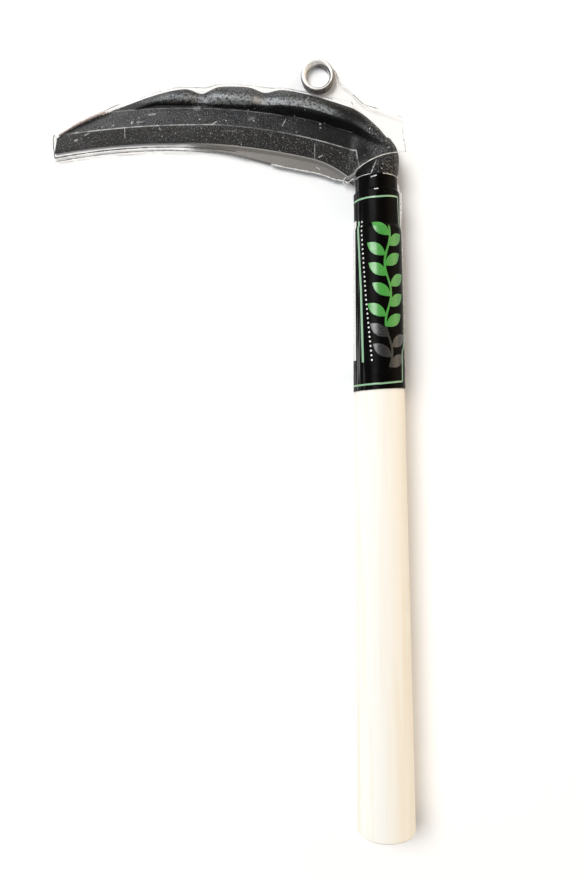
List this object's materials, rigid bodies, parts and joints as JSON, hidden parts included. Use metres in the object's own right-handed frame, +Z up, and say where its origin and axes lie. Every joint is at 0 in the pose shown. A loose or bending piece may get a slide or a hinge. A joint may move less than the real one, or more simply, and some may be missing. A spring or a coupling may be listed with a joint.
{
  "type": "weeding sickle",
  "caption": "Hand sickle: a curved blackened steel blade with a ribbed back rolled into a socket on a tapered wooden handle, in a clear slip-off guard with a hanging eyelet.",
  "frame": {"origin": "middle of the flat butt of the handle", "axes": "+Y along the handle towards the blade, -X from the neck towards the blade's tip, +Z up out of the face with the ground bevel"},
  "size_m": [0.193, 0.4219, 0.0314],
  "materials": {
    "blackened_steel": "blackened steel with a satin ground bevel",
    "pale_wood": "smooth bare pale hardwood",
    "bright_steel": "plain drawn steel",
    "black_film": "glossy printed black film",
    "clear_film": "clear glossy soft plastic sheet",
    "nickel": "bright nickel plate"
  },
  "bodies": {
    "tool": {"blade": "blackened_steel", "handle": "pale_wood", "ferrule": "bright_steel", "socket_pin": "bright_steel", "label_film": "black_film"},
    "guard": {"guard_front_sheet": "clear_film", "guard_back_sheet": "clear_film", "eyelet": "nickel", "eyelet_washer": "nickel"}
  },
  "joints": [
    {"name": "guard_draw_off", "type": "hinge", "parent": "tool", "child": "guard", "pos_m": [-0.1169, 0.0302, 0], "axis": [0, 0, 1], "range_deg": [0, 34]}
  ]
}
